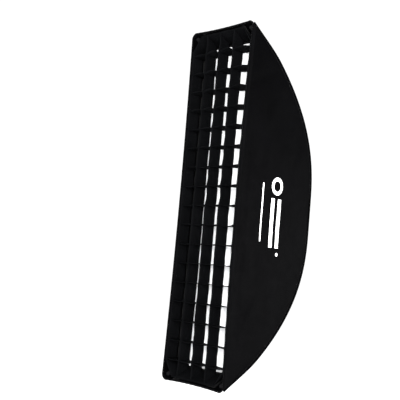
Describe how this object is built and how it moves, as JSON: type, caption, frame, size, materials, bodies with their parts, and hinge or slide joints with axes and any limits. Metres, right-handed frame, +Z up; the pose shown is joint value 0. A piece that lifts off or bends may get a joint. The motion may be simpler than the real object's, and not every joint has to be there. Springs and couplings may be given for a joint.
{
  "type": "strip softbox with fabric grid",
  "caption": "Long, narrow fabric light modifier with a curved back, spring rods, a bayonet speed ring, front and inner diffusers and a fabric egg-crate grid.",
  "frame": {"origin": "centre of the bayonet insert's seating face, at the back of the box", "axes": "+Y out of the back along the bayonet's axis, towards the flash head; +Z up the long side; +X across the width; the open front faces -Y"},
  "size_m": [0.219, 0.316, 0.898],
  "materials": {
    "bright_metal": "satin",
    "black_metal": "satin",
    "screw_metal": "satin",
    "socket_metal": "satin",
    "rod_steel": "satin",
    "cap_plastic": "matte",
    "webbing": "matte",
    "outer_fabric": "satin",
    "silver_lining": "satin",
    "binding": "matte",
    "hook_and_loop": "matte",
    "white_fabric": "matte",
    "grid_fabric": "matte"
  },
  "bodies": {
    "bayonet": {"bayonet_insert": "bright_metal"},
    "softbox": {"speed_ring": "black_metal", "ring_clips": "bright_metal", "rod_socket_upper_right": "socket_metal", "rod_socket_upper_left": "socket_metal", "rod_socket_lower_right": "socket_metal", "rod_socket_lower_left": "socket_metal", "socket_rivets": "bright_metal", "rod_upper_right": "rod_steel", "rod_upper_left": "rod_steel", "rod_lower_right": "rod_steel", "rod_lower_left": "rod_steel", "rod_caps": "cap_plastic", "corner_pockets": "webbing", "side_panel_right": "outer_fabric", "side_panel_left": "outer_fabric", "end_panel_top": "outer_fabric", "end_panel_bottom": "outer_fabric", "lining_right": "silver_lining", "lining_left": "silver_lining", "lining_top": "silver_lining", "lining_bottom": "silver_lining", "piping_upper_right": "binding", "piping_upper_left": "binding", "piping_lower_right": "binding", "piping_lower_left": "binding", "front_hem": "binding", "loop_tape_right": "hook_and_loop", "loop_tape_left": "hook_and_loop", "loop_tape_top": "hook_and_loop", "loop_tape_bottom": "hook_and_loop", "rear_collar": "binding", "ring_tabs": "webbing", "tab_hook_pads": "hook_and_loop", "inner_baffle": "white_fabric", "baffle_straps": "white_fabric"},
    "lock_screw_1": {"lock_screw_1": "screw_metal"},
    "lock_screw_2": {"lock_screw_2": "screw_metal"},
    "lock_screw_3": {"lock_screw_3": "screw_metal"},
    "lock_screw_4": {"lock_screw_4": "screw_metal"},
    "front_diffuser": {"front_diffuser": "white_fabric", "diffuser_border": "hook_and_loop"},
    "grid": {"grid_border": "grid_fabric", "grid_strip_right": "grid_fabric", "grid_strip_centre": "grid_fabric", "grid_strip_left": "grid_fabric", "grid_cross_pieces": "grid_fabric"}
  },
  "joints": [
    {"name": "box_turn", "type": "hinge", "parent": "bayonet", "child": "softbox", "pos_m": [0, 0, 0], "axis": [0, 1, 0], "continuous": true},
    {"name": "lock_screw_1_turn", "type": "hinge", "parent": "softbox", "child": "lock_screw_1", "pos_m": [0.04808, 0, 0.04808], "axis": [0, 1, 0], "continuous": true},
    {"name": "lock_screw_2_turn", "type": "hinge", "parent": "softbox", "child": "lock_screw_2", "pos_m": [-0.04808, 0, 0.04808], "axis": [0, 1, 0], "continuous": true},
    {"name": "lock_screw_3_turn", "type": "hinge", "parent": "softbox", "child": "lock_screw_3", "pos_m": [-0.04808, 0, -0.04808], "axis": [0, 1, 0], "continuous": true},
    {"name": "lock_screw_4_turn", "type": "hinge", "parent": "softbox", "child": "lock_screw_4", "pos_m": [0.04808, 0, -0.04808], "axis": [0, 1, 0], "continuous": true},
    {"name": "diffuser_peel", "type": "slide", "parent": "softbox", "child": "front_diffuser", "axis": [0, -1, 0], "range_m": [0, 0.08]},
    {"name": "grid_peel", "type": "slide", "parent": "front_diffuser", "child": "grid", "axis": [0, -1, 0], "range_m": [0, 0.08]}
  ]
}
